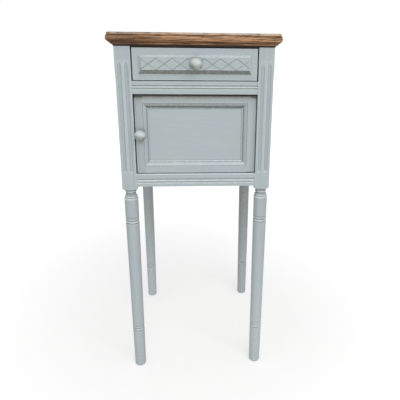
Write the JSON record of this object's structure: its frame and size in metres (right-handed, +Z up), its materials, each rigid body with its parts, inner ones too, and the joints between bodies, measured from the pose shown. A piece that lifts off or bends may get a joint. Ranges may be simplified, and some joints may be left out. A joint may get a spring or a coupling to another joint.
{
  "type": "bedside pot cupboard",
  "caption": "Tall narrow bedside cupboard on slender turned legs, with one drawer over one panelled door and a moulded wooden top.",
  "frame": {"origin": "on the floor under the centre of the whole cupboard's bounding box, knobs and top included", "axes": "+Z up, -Y towards the front with the drawer and door, +X to the right as seen from the front"},
  "size_m": [0.369, 0.402, 0.845],
  "materials": {
    "grey_blue_paint": "brushed satin paint on wood",
    "knob_paint": "paler satin paint on turned wood",
    "stained_wood": "brown stained, waxed, open grain",
    "bare_wood": "planed, unfinished",
    "screw_steel": "bright drawn steel",
    "plate_steel": "dull rolled steel",
    "catch_plastic": "moulded, brown"
  },
  "bodies": {
    "case": {"top_board": "stained_wood", "front_left_leg": "grey_blue_paint", "front_right_leg": "grey_blue_paint", "back_left_leg": "grey_blue_paint", "back_right_leg": "grey_blue_paint", "drawer_rail": "grey_blue_paint", "front_bottom_rail": "grey_blue_paint", "back_top_rail": "grey_blue_paint", "back_bottom_rail": "grey_blue_paint", "left_side_top_rail": "grey_blue_paint", "right_side_top_rail": "grey_blue_paint", "left_side_bottom_rail": "grey_blue_paint", "right_side_bottom_rail": "grey_blue_paint", "left_side_panel": "grey_blue_paint", "right_side_panel": "grey_blue_paint", "back_panel": "grey_blue_paint", "front_top_rail": "bare_wood", "left_drawer_runner": "bare_wood", "right_drawer_runner": "bare_wood", "left_drawer_guide": "bare_wood", "right_drawer_guide": "bare_wood", "left_kicker": "bare_wood", "right_kicker": "bare_wood", "drawer_stops": "bare_wood", "dust_board": "bare_wood", "cupboard_floor": "bare_wood", "left_floor_cleat": "bare_wood", "right_floor_cleat": "bare_wood", "top_screws": "screw_steel", "pivot_pins": "plate_steel", "pivot_pin_screws": "screw_steel", "catch_case": "catch_plastic", "catch_screws": "screw_steel"},
    "door": {"door_hinge_stile": "grey_blue_paint", "door_latch_stile": "grey_blue_paint", "door_top_rail": "grey_blue_paint", "door_bottom_rail": "grey_blue_paint", "door_panel": "grey_blue_paint", "door_top_moulding": "grey_blue_paint", "door_bottom_moulding": "grey_blue_paint", "door_left_moulding": "grey_blue_paint", "door_right_moulding": "grey_blue_paint", "door_knob": "knob_paint", "door_knob_screw": "screw_steel", "pivot_plates": "plate_steel", "pivot_plate_screws": "screw_steel", "striker_plate": "plate_steel", "striker_screws": "screw_steel"},
    "drawer": {"drawer_front": "grey_blue_paint", "drawer_plaque": "grey_blue_paint", "drawer_left_side": "bare_wood", "drawer_right_side": "bare_wood", "drawer_back": "bare_wood", "drawer_bottom": "bare_wood", "drawer_bottom_nails": "screw_steel", "drawer_knob": "knob_paint", "drawer_knob_screw": "screw_steel"}
  },
  "joints": [
    {"name": "drawer_slide", "type": "slide", "parent": "case", "child": "drawer", "axis": [0, -1, 0], "range_m": [0, 0.25]},
    {"name": "door_swing", "type": "hinge", "parent": "case", "child": "door", "pos_m": [0.1298, -0.1595, 0.627], "axis": [0, 0, 1], "range_deg": [0, 95]}
  ]
}
